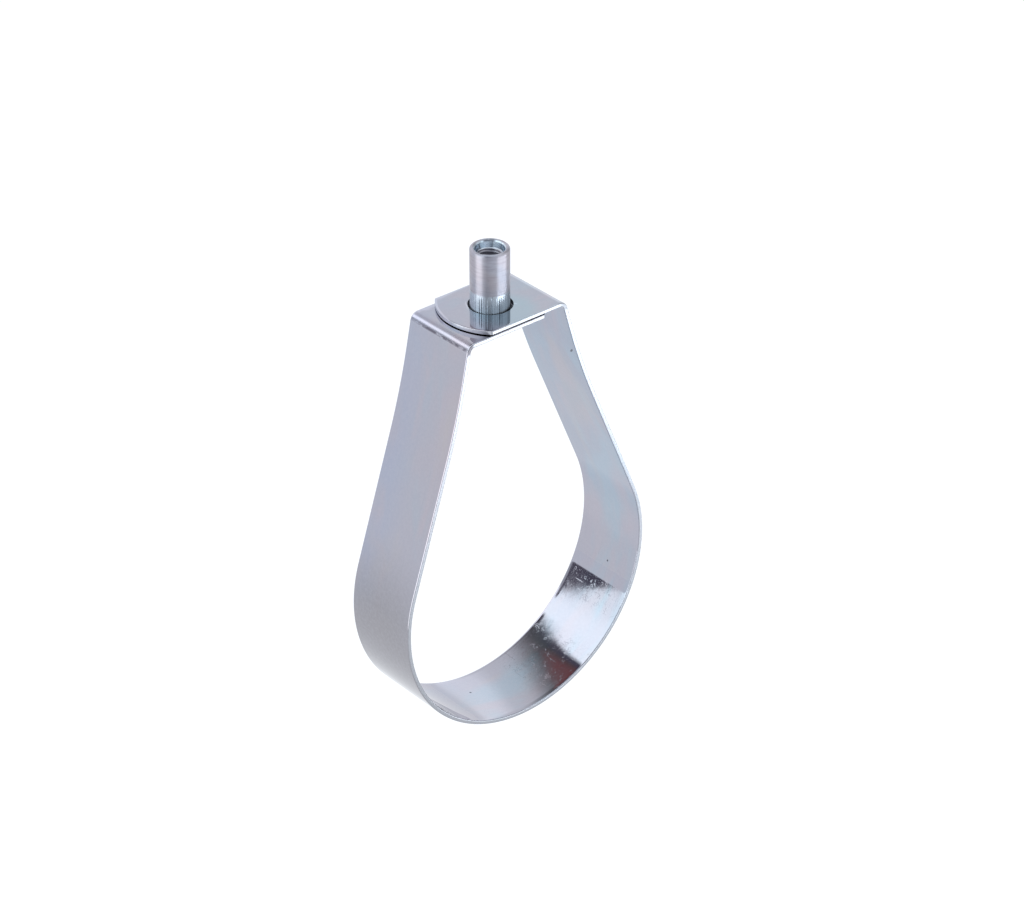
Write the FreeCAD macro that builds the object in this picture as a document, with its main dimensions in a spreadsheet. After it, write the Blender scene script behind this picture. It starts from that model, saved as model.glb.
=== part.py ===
import FreeCAD, Part
import math
import os

import Sketcher

# Driving dimensions in millimetres and degrees
SIZES = [
    ("ring_inner_radius", 58.3, "inside radius of the round seat, for a pipe 114.3 across"),
    ("strap_thickness", 1.7, "thickness of the steel strip"),
    ("strap_width", 33.4, "width of the steel strip"),
    ("edge_rounding", 0.3, "rounding of the strip's long edges"),
    ("head_height", 119.5, "top of the upper lap above the ring's centre"),
    ("head_offset", 5.5, "middle of the head to the left of the ring's centre"),
    ("head_half_width", 23.5, "middle of the head to the outer corner of each bend"),
    ("lap_gap", 0.3, "air between the two laps"),
    ("bend_inner_radius", 2.0, "inside radius of the two bends of the head"),
    ("neck_length", 13.2, "straight run of each leg below its bend"),
    ("neck_ease", 6.5, "angle by which each leg eases outwards between neck and ring"),
    ("neck_radius", 300.0, "radius of that ease, on the outer surface"),
    ("upper_lap_setback", 4.7, "tip of the upper lap to the outer corner of the left bend"),
    ("lower_lap_clearance", 1.9, "tip of the lower lap to the inside of the right leg"),
    ("lap_end_radius", 24.0, "radius of the rounded end of each lap"),
    ("hole_offset", 0.95, "swivel hole to the right of the head's middle"),
    ("thread_radius", 4.25, "minor radius of the rod thread, M10"),
    ("nut_wall", 3.3, "wall of the nut from the minor radius to the barrel"),
    ("nut_rise", 24.2, "top of the nut above the upper lap"),
    ("rim_rounding", 1.0, "rounding of the nut's upper outer edge"),
    ("rim_land", 1.35, "flat ring between the rounding and the mouth"),
    ("bore_lead", 0.8, "chamfer at the bottom of the bore"),
    ("belt_rise", 7.3, "top of the knurled belt above the upper lap"),
    ("knurl_rise", 0.1, "knurl crests proud of the barrel"),
    ("knurl_depth", 0.4, "depth of a knurl groove from its crest"),
    ("knurl_count", 48, "grooves round the belt"),
    ("swivel_clearance", 0.95, "radial clearance of the belt in the swivel hole"),
    ("rest_gap", 0.15, "clearance that is left where the nut leans on the hole"),
    ("rest_direction", 215.0, "direction in which the nut leans, from +X"),
    ("flange_overlap", 2.0, "reach of the nut's flange beyond the swivel hole"),
    ("flange_thickness", 2.5, "thickness of the nut's flange"),
    ("flange_rounding", 0.6, "rounding of the flange's lower edge"),
    ("cut_margin", 0.5, "how far each cutting outline passes the strip"),
]

# Sizes that follow from the driving ones, written once as expressions
STRAP_OUTER_RADIUS = "(sizes.ring_inner_radius + sizes.strap_thickness)"
BEND_OUTER_RADIUS = "(sizes.bend_inner_radius + sizes.strap_thickness)"
LOWER_LAP_HEIGHT = "(sizes.head_height - sizes.strap_thickness - sizes.lap_gap)"
HEAD_STACK = "(2 * sizes.strap_thickness + sizes.lap_gap)"
RIGHT_CORNER = "(sizes.head_half_width - sizes.head_offset)"
LEFT_CORNER = "(sizes.head_half_width + sizes.head_offset)"
UPPER_TIP = f"({LEFT_CORNER} - sizes.upper_lap_setback)"
LOWER_TIP = f"({RIGHT_CORNER} - sizes.strap_thickness - sizes.lower_lap_clearance)"
HOLE_PLACE = "(sizes.head_offset - sizes.hole_offset)"
BARREL_RADIUS = "(sizes.thread_radius + sizes.nut_wall)"
BELT_RADIUS = f"({BARREL_RADIUS} + sizes.knurl_rise)"
HOLE_RADIUS = f"({BELT_RADIUS} + sizes.swivel_clearance)"
FLANGE_RADIUS = f"({HOLE_RADIUS} + sizes.flange_overlap)"
MOUTH_FLARE = "(sizes.nut_wall - sizes.rim_rounding - sizes.rim_land)"
NUT_LEAN = "(sizes.swivel_clearance - sizes.rest_gap)"
BELT_TOP = f"(sizes.flange_thickness + {HEAD_STACK} + sizes.belt_rise)"
NUT_TOP = f"(sizes.flange_thickness + {HEAD_STACK} + sizes.nut_rise)"

ORIGIN = (-1, 1)
X_AXIS = -1
Y_AXIS = -2
START, END, CENTRE = 1, 2, 3


def make_sheet(doc):
    """Write the driving dimensions into the document's spreadsheet."""
    sheet = doc.addObject("Spreadsheet::Sheet", "sizes")
    for row, (alias, value, meaning) in enumerate(SIZES, start=1):
        sheet.set(f"A{row}", meaning)
        sheet.set(f"B{row}", str(value))
        sheet.setAlias(f"B{row}", alias)
    doc.recompute()
    return sheet


def value_of(expression):
    """Work out an expression over the spreadsheet as a plain number."""
    result = sheet.evalExpression(expression)
    return float(getattr(result, "Value", result))


def new_body(name):
    """Add an empty body whose label names its file."""
    body = doc.addObject("PartDesign::Body", name)
    body.Label = name
    return body


def origin_feature(body, role):
    """Find one of the body's own origin planes or axes."""
    return next(item for item in body.Origin.OriginFeatures if item.Role == role)


def new_sketch(body, name, role, height=None):
    """Attach a sketch to an origin plane, lifted by an expression where one is given."""
    sketch = body.newObject("Sketcher::SketchObject", name)
    sketch.AttachmentSupport = [(origin_feature(body, role), "")]
    sketch.MapMode = "FlatFace"
    if height is not None:
        sketch.setExpression("AttachmentOffset.Base.z", height)
    return sketch


def bind(sketch, name, expression, kind, *where):
    """Add a named dimension to a sketch and tie it to an expression."""
    unit = " * 1 deg" if kind == "Angle" else ""
    start = value_of(expression)
    start = math.radians(start) if kind == "Angle" else start
    index = sketch.addConstraint(Sketcher.Constraint(kind, *where, start))
    sketch.renameConstraint(index, name)
    sketch.setExpression(f"Constraints.{name}", f"({expression}){unit}")


def add_line(sketch, start, end):
    """Draw a straight edge between two (x, y) points."""
    return sketch.addGeometry(Part.LineSegment(FreeCAD.Vector(*start), FreeCAD.Vector(*end)))


def add_arc(sketch, centre, radius, first, last):
    """Draw an arc that runs anticlockwise from one angle to another."""
    circle = Part.Circle(FreeCAD.Vector(*centre), FreeCAD.Vector(0, 0, 1), radius)
    return sketch.addGeometry(Part.ArcOfCircle(circle, first, last))


def add_outline(sketch, corners):
    """Draw a closed outline whose corners have their coordinates tied to expressions."""
    places = [tuple(0.0 if part is None else value_of(part) for part in corner) for corner in corners]
    lines = [add_line(sketch, place, places[(index + 1) % len(places)]) for index, place in enumerate(places)]
    for index, line in enumerate(lines):
        previous = lines[index - 1]
        sketch.addConstraint(Sketcher.Constraint("Coincident", previous, END, line, START))
        across, along = corners[index]
        if across is None:
            sketch.addConstraint(Sketcher.Constraint("PointOnObject", line, START, Y_AXIS))
        else:
            bind(sketch, f"across_{index}", across, "DistanceX", *ORIGIN, line, START)
        if along is None:
            sketch.addConstraint(Sketcher.Constraint("PointOnObject", line, START, X_AXIS))
        else:
            bind(sketch, f"along_{index}", along, "DistanceY", *ORIGIN, line, START)


class Side:
    """Centres, angles and tangent points of one leg, drawn as the right one and mirrored by sign."""

    def __init__(self, sign, corner, top):
        self.sign = sign
        self.top = value_of(top)
        self.ring = value_of(STRAP_OUTER_RADIUS)
        self.turn = value_of("sizes.neck_radius")
        self.bend = value_of(BEND_OUTER_RADIUS)
        ease = math.radians(value_of("sizes.neck_ease"))
        neck_length = value_of("sizes.neck_length")
        across = value_of(corner)
        # Height of the corner above the leg's own line, square to it
        rise = self.ring + self.turn * (1 - math.cos(ease)) + neck_length * math.sin(ease)
        self.leg = math.atan2(self.top, across) - math.acos(rise / math.hypot(across, self.top))
        self.neck = self.leg - ease
        neck_end = (across + neck_length * math.sin(self.neck), self.top - neck_length * math.cos(self.neck))
        self.turn_centre = (neck_end[0] + self.turn * math.cos(self.neck),
                            neck_end[1] + self.turn * math.sin(self.neck))
        back = self.bend * (1 - math.sin(self.neck)) / math.cos(self.neck)
        self.bend_centre = (across - back, self.top - self.bend)

    def place(self, centre, radius, angle):
        """Point at an angle round a centre, mirrored to this side."""
        return (self.sign * (centre[0] + radius * math.cos(angle)), centre[1] + radius * math.sin(angle))

    def points(self, inset):
        """Tangent points from the ring up to the lap, on the surface that lies inset below the outer one."""
        return (
            self.place((0, 0), self.ring - inset, self.leg),
            self.place(self.turn_centre, self.turn + inset, math.pi + self.leg),
            self.place(self.turn_centre, self.turn + inset, math.pi + self.neck),
            self.place(self.bend_centre, self.bend - inset, self.neck),
            self.place(self.bend_centre, self.bend - inset, math.pi / 2),
        )

    def arc(self, sketch, centre, radius, first, last):
        """Draw an arc of this side, anticlockwise on the right and mirrored on the left."""
        if self.sign > 0:
            return add_arc(sketch, centre, radius, first, last)
        return add_arc(sketch, (-centre[0], centre[1]), radius, math.pi - last, math.pi - first)


def strap_surface(sketch, right, left, inset, tips):
    """Draw one surface of the strip from the upper lap's tip round to the lower lap's tip.

    Each entry gives an edge and the ends by which the path enters and leaves it."""
    path = []
    for side, tip in ((right, tips[0]), (left, tips[1])):
        ring, leg, turn, bend, lap = side.points(inset)
        on_right = side.sign > 0
        low, high = (END, START) if on_right else (START, END)
        edges = [
            (add_line(sketch, lap, (tip, lap[1])), END, START),
            (side.arc(sketch, side.bend_centre, side.bend - inset, side.neck, math.pi / 2), low, high),
            (add_line(sketch, turn, bend), END, START),
            (side.arc(sketch, side.turn_centre, side.turn + inset, math.pi + side.neck, math.pi + side.leg),
             high, low),
            (add_line(sketch, ring, leg), END, START),
        ]
        if on_right:
            path += edges
            seat = add_arc(sketch, (0, 0), side.ring - inset, math.pi - left.leg, 2 * math.pi + side.leg)
            path.append((seat, END, START))
        else:
            path += [(edge, leave, enter) for edge, enter, leave in reversed(edges)]
    for (edge, _, leave), (following, enter, _) in zip(path, path[1:]):
        sketch.addConstraint(Sketcher.Constraint("Tangent", edge, leave, following, enter))
    return [edge for edge, _, _ in path]


def draw_strap(sketch):
    """Draw the folded strip's edge-on section and dimension it."""
    right = Side(1, RIGHT_CORNER, "sizes.head_height")
    left = Side(-1, LEFT_CORNER, LOWER_LAP_HEIGHT)
    tips = (-value_of(UPPER_TIP), value_of(LOWER_TIP))
    outer = strap_surface(sketch, right, left, 0.0, tips)
    inner = strap_surface(sketch, right, left, value_of("sizes.strap_thickness"), tips)
    upper_lap, bend_right, neck_right, turn_right, leg_right, seat = range(6)
    leg_left, turn_left, neck_left, bend_left, lower_lap = range(6, 11)

    for arc in (bend_right, turn_right, seat, turn_left, bend_left):
        sketch.addConstraint(Sketcher.Constraint("Coincident", outer[arc], CENTRE, inner[arc], CENTRE))
    sketch.addConstraint(Sketcher.Constraint("Coincident", outer[seat], CENTRE, *ORIGIN))
    bind(sketch, "seat_outer", STRAP_OUTER_RADIUS, "Radius", outer[seat])
    bind(sketch, "seat_inner", "sizes.ring_inner_radius", "Radius", inner[seat])

    # Each side has the same bend, neck and ease, and its own corner, where its neck and its lap would meet
    right_edges = (bend_right, neck_right, turn_right, leg_right, upper_lap)
    left_edges = (bend_left, neck_left, turn_left, leg_left, lower_lap)
    for name, sign, edges, corner, top in (
        ("right", 1, right_edges, RIGHT_CORNER, "sizes.head_height"),
        ("left", -1, left_edges, LEFT_CORNER, LOWER_LAP_HEIGHT),
    ):
        bend, neck, turn, leg, lap = edges
        bind(sketch, f"bend_outer_{name}", BEND_OUTER_RADIUS, "Radius", outer[bend])
        bind(sketch, f"bend_inner_{name}", "sizes.bend_inner_radius", "Radius", inner[bend])
        bind(sketch, f"turn_outer_{name}", "sizes.neck_radius", "Radius", outer[turn])
        bind(sketch, f"turn_inner_{name}", "sizes.neck_radius + sizes.strap_thickness", "Radius", inner[turn])
        for surface in (outer, inner):
            sketch.addConstraint(Sketcher.Constraint("Horizontal", surface[lap]))
        spot = sketch.addGeometry(Part.Point(FreeCAD.Vector(sign * value_of(corner), value_of(top))), True)
        sketch.addConstraint(Sketcher.Constraint("PointOnObject", spot, START, outer[neck]))
        sketch.addConstraint(Sketcher.Constraint("PointOnObject", spot, START, outer[lap]))
        ends = (*ORIGIN, spot, START) if sign > 0 else (spot, START, *ORIGIN)
        bind(sketch, f"corner_{name}", corner, "DistanceX", *ends)
        bind(sketch, f"top_{name}", top, "DistanceY", *ORIGIN, spot, START)
        bind(sketch, f"neck_length_{name}", "sizes.neck_length", "Distance", spot, START, outer[neck], START)
        lines = (outer[neck], outer[leg]) if sign > 0 else (outer[leg], outer[neck])
        bind(sketch, f"ease_{name}", "sizes.neck_ease", "Angle", *lines)

    # Square ends, which the next cuts round off
    for name, lap, tip, ends in (
        ("upper", upper_lap, UPPER_TIP, (outer[upper_lap], END, *ORIGIN)),
        ("lower", lower_lap, LOWER_TIP, (*ORIGIN, outer[lower_lap], END)),
    ):
        first = sketch.Geometry[outer[lap]].EndPoint
        last = sketch.Geometry[inner[lap]].EndPoint
        end_line = add_line(sketch, (first.x, first.y), (last.x, last.y))
        sketch.addConstraint(Sketcher.Constraint("Coincident", end_line, START, outer[lap], END))
        sketch.addConstraint(Sketcher.Constraint("Coincident", end_line, END, inner[lap], END))
        sketch.addConstraint(Sketcher.Constraint("Vertical", end_line))
        bind(sketch, f"tip_{name}", tip, "DistanceX", *ends)


def lap_end_cutter(body, name, tip, sign, upward):
    """Round one lap's end: cut away what lies outside an arc that touches the lap's tip."""
    between_laps = f"{LOWER_LAP_HEIGHT} + sizes.lap_gap / 2"
    sketch = new_sketch(body, f"{name}_outline", "XY_Plane", between_laps)
    reach = value_of("sizes.strap_width / 2 + sizes.cut_margin")
    radius = value_of("sizes.lap_end_radius")
    tip_x = sign * value_of(tip)
    centre_x = tip_x - sign * radius
    spread = math.asin(reach / radius)
    middle = 0.0 if sign > 0 else math.pi
    arc = add_arc(sketch, (centre_x, 0), radius, middle - spread, middle + spread)
    start = sketch.Geometry[arc].StartPoint
    end = sketch.Geometry[arc].EndPoint
    far_x = tip_x + sign * value_of("sizes.cut_margin")
    first = add_line(sketch, (end.x, end.y), (far_x, end.y))
    far = add_line(sketch, (far_x, end.y), (far_x, start.y))
    last = add_line(sketch, (far_x, start.y), (start.x, start.y))
    for one, leave, two, enter in ((arc, END, first, START), (first, END, far, START),
                                   (far, END, last, START), (last, END, arc, START)):
        sketch.addConstraint(Sketcher.Constraint("Coincident", one, leave, two, enter))
    for line, kind in ((first, "Horizontal"), (far, "Vertical"), (last, "Horizontal")):
        sketch.addConstraint(Sketcher.Constraint(kind, line))
    sketch.addConstraint(Sketcher.Constraint("PointOnObject", arc, CENTRE, X_AXIS))
    sketch.addConstraint(Sketcher.Constraint("Symmetric", arc, START, arc, END, X_AXIS))
    bind(sketch, "round", "sizes.lap_end_radius", "Radius", arc)
    bind(sketch, "reach", "sizes.strap_width + 2 * sizes.cut_margin", "Distance", far)
    ends = (*ORIGIN, far, START) if sign > 0 else (far, START, *ORIGIN)
    bind(sketch, "far", f"{tip} + sizes.cut_margin", "DistanceX", *ends)
    centre_ends = (arc, CENTRE, far, START) if sign > 0 else (far, START, arc, CENTRE)
    bind(sketch, "centre", "sizes.lap_end_radius + sizes.cut_margin", "DistanceX", *centre_ends)
    cut = body.newObject("PartDesign::Pocket", f"{name}_cut")
    cut.Profile = sketch
    cut.Type = "Length"
    cut.Reversed = upward
    cut.setExpression("Length", "(sizes.strap_thickness + sizes.lap_gap / 2 + sizes.cut_margin) * 1 mm")
    body.Tip = cut


def make_ring_band():
    """One strip bent to a teardrop: two laps over each other, two legs and a round seat."""
    body = new_body("ring_band")
    sketch = new_sketch(body, "strap_section", "XZ_Plane")
    draw_strap(sketch)
    doc.recompute()
    pad = body.newObject("PartDesign::Pad", "strap")
    pad.Profile = sketch
    pad.SideType = "Symmetric"
    pad.setExpression("Length", "sizes.strap_width * 1 mm")
    doc.recompute()
    lap_end_cutter(body, "upper_lap_end", UPPER_TIP, -1, True)
    lap_end_cutter(body, "lower_lap_end", LOWER_TIP, 1, False)

    hole_sketch = new_sketch(body, "swivel_hole_outline", "XY_Plane", "sizes.head_height")
    place = FreeCAD.Vector(-value_of(HOLE_PLACE), 0, 0)
    circle = hole_sketch.addGeometry(Part.Circle(place, FreeCAD.Vector(0, 0, 1), value_of(HOLE_RADIUS)))
    hole_sketch.addConstraint(Sketcher.Constraint("PointOnObject", circle, CENTRE, X_AXIS))
    bind(hole_sketch, "place", HOLE_PLACE, "DistanceX", circle, CENTRE, *ORIGIN)
    bind(hole_sketch, "radius", HOLE_RADIUS, "Radius", circle)
    hole = body.newObject("PartDesign::Pocket", "swivel_hole")
    hole.Profile = hole_sketch
    hole.Type = "Length"
    hole.setExpression("Length", f"({HEAD_STACK} + sizes.cut_margin) * 1 mm")
    body.Tip = hole
    doc.recompute()

    # The long edges are those that lie all along the front or the back of the strip
    half_width = value_of("sizes.strap_width / 2")
    names = [
        f"Edge{number}"
        for number, edge in enumerate(hole.Shape.Edges, start=1)
        if edge.BoundBox.YLength < 1e-6 and abs(abs(edge.CenterOfMass.y) - half_width) < 1e-6
        and edge.Length > 2 * value_of("sizes.strap_thickness")
    ]
    rounding = body.newObject("PartDesign::Fillet", "long_edges")
    rounding.Base = (hole, names)
    rounding.setExpression("Radius", "sizes.edge_rounding * 1 mm")
    body.Tip = rounding
    return body


def make_swivel_nut():
    """A turned nut: flange under the laps, knurled belt, smooth barrel and threaded bore."""
    body = new_body("swivel_nut")
    section = new_sketch(body, "nut_section", "XZ_Plane")
    add_outline(section, [
        ("sizes.thread_radius + sizes.bore_lead", None),
        (FLANGE_RADIUS, None),
        (FLANGE_RADIUS, "sizes.flange_thickness"),
        (BELT_RADIUS, "sizes.flange_thickness"),
        (BELT_RADIUS, BELT_TOP),
        (BARREL_RADIUS, BELT_TOP),
        (BARREL_RADIUS, NUT_TOP),
        (f"sizes.thread_radius + {MOUTH_FLARE}", NUT_TOP),
        ("sizes.thread_radius", f"{NUT_TOP} - {MOUTH_FLARE}"),
        ("sizes.thread_radius", "sizes.bore_lead"),
    ])
    doc.recompute()
    turned = body.newObject("PartDesign::Revolution", "turned_blank")
    turned.Profile = section
    turned.ReferenceAxis = (section, ["V_Axis"])
    turned.Angle = 360
    doc.recompute()

    # Rounded rim and rounded lower edge of the flange
    last = turned
    for name, radius, height, rounding in (
        ("rim", BARREL_RADIUS, NUT_TOP, "sizes.rim_rounding"),
        ("flange_edge", FLANGE_RADIUS, "0", "sizes.flange_rounding"),
    ):
        edges = [
            f"Edge{number}"
            for number, edge in enumerate(last.Shape.Edges, start=1)
            if isinstance(edge.Curve, Part.Circle)
            and abs(edge.Curve.Radius - value_of(radius)) < 1e-6
            and abs(edge.CenterOfMass.z - value_of(height)) < 1e-6
        ]
        fillet = body.newObject("PartDesign::Fillet", name)
        fillet.Base = (last, edges)
        fillet.setExpression("Radius", f"{rounding} * 1 mm")
        body.Tip = fillet
        doc.recompute()
        last = fillet

    # One straight knurl groove, repeated round the belt
    groove_sketch = new_sketch(body, "knurl_section", "XY_Plane", BELT_TOP)
    half_mouth = "sizes.knurl_depth + sizes.knurl_rise"
    groove_bottom = f"{BELT_RADIUS} - sizes.knurl_depth"
    outside = f"{BELT_RADIUS} + sizes.knurl_rise"
    bottom = (value_of(groove_bottom), 0)
    upper = (value_of(outside), value_of(half_mouth))
    lower = (upper[0], -upper[1])
    rising = add_line(groove_sketch, bottom, upper)
    mouth = add_line(groove_sketch, upper, lower)
    falling = add_line(groove_sketch, lower, bottom)
    for one, two in ((rising, mouth), (mouth, falling), (falling, rising)):
        groove_sketch.addConstraint(Sketcher.Constraint("Coincident", one, END, two, START))
    groove_sketch.addConstraint(Sketcher.Constraint("PointOnObject", rising, START, X_AXIS))
    groove_sketch.addConstraint(Sketcher.Constraint("Symmetric", mouth, START, mouth, END, X_AXIS))
    bind(groove_sketch, "bottom", groove_bottom, "DistanceX", *ORIGIN, rising, START)
    bind(groove_sketch, "outside", outside, "DistanceX", *ORIGIN, mouth, START)
    bind(groove_sketch, "opening", f"2 * ({half_mouth})", "Distance", mouth)
    groove = body.newObject("PartDesign::Pocket", "knurl_groove")
    groove.Profile = groove_sketch
    groove.Type = "Length"
    groove.setExpression("Length", f"({BELT_TOP} - sizes.flange_thickness) * 1 mm")
    body.Tip = groove
    doc.recompute()
    knurl = body.newObject("PartDesign::PolarPattern", "knurl")
    knurl.Originals = [groove]
    knurl.Axis = (origin_feature(body, "Z_Axis"), [""])
    knurl.Angle = 360
    knurl.setExpression("Occurrences", "sizes.knurl_count")
    body.Tip = knurl

    # The flange bears on the underside of the lower lap, and the barrel leans in the hole
    lean_x = f"{NUT_LEAN} * cos(sizes.rest_direction * 1 deg)"
    lean_y = f"{NUT_LEAN} * sin(sizes.rest_direction * 1 deg)"
    body.setExpression("Placement.Base.x", f"({lean_x} - {HOLE_PLACE}) * 1 mm")
    body.setExpression("Placement.Base.y", f"({lean_y}) * 1 mm")
    flange_bottom = f"sizes.head_height - {HEAD_STACK} - sizes.flange_thickness"
    body.setExpression("Placement.Base.z", f"({flange_bottom}) * 1 mm")
    return body


def check(bodies):
    """Stop if any object failed or any sub-part has no sound solid."""
    failed = [item.Name for item in doc.Objects if {"Invalid", "Error"} & set(item.State)]
    if failed:
        raise RuntimeError(f"these objects failed: {failed}")
    for body in bodies:
        shape = body.Shape
        if shape.isNull() or not shape.isValid() or len(shape.Solids) != 1:
            raise RuntimeError(f"{body.Label} is not one sound solid")


doc = FreeCAD.newDocument("swivel_ring_hanger")
sheet = make_sheet(doc)
bodies = [make_ring_band(), make_swivel_nut()]
doc.recompute()
check(bodies)
os.makedirs("parts", exist_ok=True)
for body in bodies:
    body.Shape.exportStep(f"parts/{body.Label}.step")
    box = body.Shape.BoundBox
    print(f"{body.Label}: volume {body.Shape.Volume:.1f}, z {box.ZMin:.2f} to {box.ZMax:.2f},"
          f" x {box.XMin:.2f} to {box.XMax:.2f}, faces {len(body.Shape.Faces)}")
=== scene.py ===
import math
import random

import bmesh
import bpy
import numpy as np
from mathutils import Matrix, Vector, noise


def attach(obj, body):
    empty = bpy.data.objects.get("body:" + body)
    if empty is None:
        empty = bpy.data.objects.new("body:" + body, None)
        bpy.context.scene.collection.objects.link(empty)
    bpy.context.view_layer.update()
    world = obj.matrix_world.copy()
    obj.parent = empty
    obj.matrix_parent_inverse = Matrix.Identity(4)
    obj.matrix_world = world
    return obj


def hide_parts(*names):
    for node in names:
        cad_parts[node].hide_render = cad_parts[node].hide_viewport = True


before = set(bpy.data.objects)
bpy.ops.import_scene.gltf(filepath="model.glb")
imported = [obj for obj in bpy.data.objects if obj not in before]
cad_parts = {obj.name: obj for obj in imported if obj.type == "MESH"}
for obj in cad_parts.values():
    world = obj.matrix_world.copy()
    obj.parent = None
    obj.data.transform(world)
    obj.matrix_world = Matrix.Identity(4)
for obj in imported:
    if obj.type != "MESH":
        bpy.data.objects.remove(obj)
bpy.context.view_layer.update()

MM = 0.001

# Sizes of the strip, in millimetres and degrees, as the CAD source has them
RING_RADIUS = 60.0
STRIP_THICKNESS = 1.7
STRIP_WIDTH = 33.4
HEAD_HEIGHT = 119.5
LAP_GAP = 0.3
RIGHT_CORNER = 18.0
LEFT_CORNER = 29.0
BEND_RADIUS = 3.7
NECK_LENGTH = 13.2
NECK_EASE = math.radians(6.5)
NECK_RADIUS = 300.0
UPPER_TIP = -24.3
LOWER_TIP = 14.4
LAP_END_RADIUS = 24.0
HOLE_PLACE = -4.55
HOLE_RADIUS = 8.6
EDGE_ROUNDING = 0.3
EDGE_DROOP = 0.07
DROOP_REACH = 0.9
# Share of that rounding at the tips and in the holes
END_EDGE_SHARE = 0.4
# Heights, lengths and shifts of the strip's slight waves
WAVES = ((0.012, 34.0, Vector((0.0, 0.0, 0.0))), (0.0025, 11.0, Vector((7.0, 3.0, 1.0))))

# Sizes of the nut
NUT_AXIS = (-5.2053, -0.4589)
NUT_BOTTOM = 113.3
FLANGE_RADIUS = 10.6
FLANGE_TOP = 115.8
BELT_TOP = 126.8
BARREL_RADIUS = 7.55
NUT_TOP = 143.7
THREAD_MINOR = 4.25
THREAD_MAJOR = 5.05
THREAD_PITCH = 1.5
MOUTH_RADIUS = 6.3
RIM_ROUNDING = 0.95
KNURL_DEPTH = 0.16
KNURL_COUNT = 48
FLANGE_ROUNDING = 0.6
FLANGE_TOP_ROUNDING = 0.2
BORE_CHAMFER = 0.8
MOUTH_LIP = 0.12
# Depth and radius in the mouth: a short chamfer, then a slim cone that leaves the first thread turns blunt
MOUTH_STEPS = ((0.65, 5.65), (2.3, 5.2), (2.75, 5.05), (3.3, THREAD_MINOR))
# Angle at which the thread groove begins, which sets how its turns lie in the mouth
THREAD_PHASE = math.radians(133.5)
# The thread cutter starts inside the minor radius and runs past both ends of the nut
CUTTER_INSIDE = 0.25
CUTTER_ROOT = THREAD_PITCH / 16
CUTTER_FLANK = math.radians(30)
CUTTER_BELOW = 1.2
CUTTER_ABOVE = 1.0

# Rows of points up the belt, closer where the grooves run out, and up the barrel
BELT_ROWS = [FLANGE_TOP, FLANGE_TOP + 2.0, 120.0, 122.0, 124.0, 125.2]
BELT_ROWS += [BELT_TOP - 1.4 + 0.25 * step for step in range(11)]
BARREL_ROWS = [129.0, 132.5, 136.0, 139.5]

# Each groove has its own share of the depth and its own shift in height, and runs out below its top
GROOVE_SEED = 11
GROOVE_DEPTHS = (0.15, 1.0)
GROOVE_SHIFTS = (-0.7, 0.5)
GROOVE_HALF_WIDTH = 0.25
GROOVE_TOP = BELT_TOP + 0.3
GROOVE_RUN_OUT = 2.6
# The knurl bites deeper on one side of the nut, which also makes the painted groove shade stronger there
SHALLOW_SHARE = 0.6
DEEP_EXTRA = 0.7
DEEP_SIDE = math.radians(80)

# Creases sharper than these are rounded on the strip and kept sharp on the nut
STRIP_CREASE = math.radians(38)
NUT_CREASE = math.radians(32)

# Width of the zone beside a cut edge in which points count as cut
CUT_REACH = 0.6

# Mesh fineness: rows along each part of the strip and across it, then points round the nut
BEND_STEPS = 12
NECK_STEPS = 9
EASE_STEPS = 24
LEG_STEPS = 40
RING_STEPS = 176
LAP_STEPS = 20
HOLE_RINGS = 7
HOLE_RING_POWER = 0.8
ACROSS = 24
KNURL_SAMPLES = 8
BORE_COLUMNS = 96


def new_object(name, mesh):
    """Link a mesh to the scene under a name."""
    made = bpy.data.objects.new(name, mesh)
    bpy.context.scene.collection.objects.link(made)
    return made


def bake_modifiers(piece):
    """Replace a piece's mesh by the result of its modifiers."""
    graph = bpy.context.evaluated_depsgraph_get()
    result = bpy.data.meshes.new_from_object(piece.evaluated_get(graph))
    piece.modifiers.clear()
    old = piece.data
    piece.data = result
    bpy.data.meshes.remove(old)
    return piece


def leg_side(across, top):
    """Angles and centres of one leg, drawn as the right one."""
    rise = RING_RADIUS + NECK_RADIUS * (1 - math.cos(NECK_EASE)) + NECK_LENGTH * math.sin(NECK_EASE)
    leg = math.atan2(top, across) - math.acos(rise / math.hypot(across, top))
    neck = leg - NECK_EASE
    end = (across + NECK_LENGTH * math.sin(neck), top - NECK_LENGTH * math.cos(neck))
    back = BEND_RADIUS * (1 - math.sin(neck)) / math.cos(neck)
    return {
        "leg": leg,
        "neck": neck,
        "turn": (end[0] + NECK_RADIUS * math.cos(neck), end[1] + NECK_RADIUS * math.sin(neck)),
        "bend": (across - back, top - BEND_RADIUS),
    }


def side_rows(side):
    """Middle line of one leg from the lap down to the ring: rows of (x, z, normal x, normal z)."""
    half = STRIP_THICKNESS / 2

    def on(centre, radius, angle):
        return centre[0] + radius * math.cos(angle), centre[1] + radius * math.sin(angle)

    rows = []

    def straight(end, angle, steps):
        first = rows[-1]
        for step in range(1, steps):
            share = step / steps
            x = first[0] * (1 - share) + end[0] * share
            z = first[1] * (1 - share) + end[1] * share
            rows.append((x, z, math.cos(angle), math.sin(angle)))

    for step in range(BEND_STEPS + 1):
        angle = math.pi / 2 + (side["neck"] - math.pi / 2) * step / BEND_STEPS
        x, z = on(side["bend"], BEND_RADIUS - half, angle)
        rows.append((x, z, math.cos(angle), math.sin(angle)))
    straight(on(side["turn"], NECK_RADIUS + half, math.pi + side["neck"]), side["neck"], NECK_STEPS)
    for step in range(EASE_STEPS + 1):
        angle = side["neck"] + (side["leg"] - side["neck"]) * step / EASE_STEPS
        x, z = on(side["turn"], NECK_RADIUS + half, math.pi + angle)
        rows.append((x, z, math.cos(angle), math.sin(angle)))
    straight(on((0.0, 0.0), RING_RADIUS - half, side["leg"]), side["leg"], LEG_STEPS)
    return rows


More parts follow.
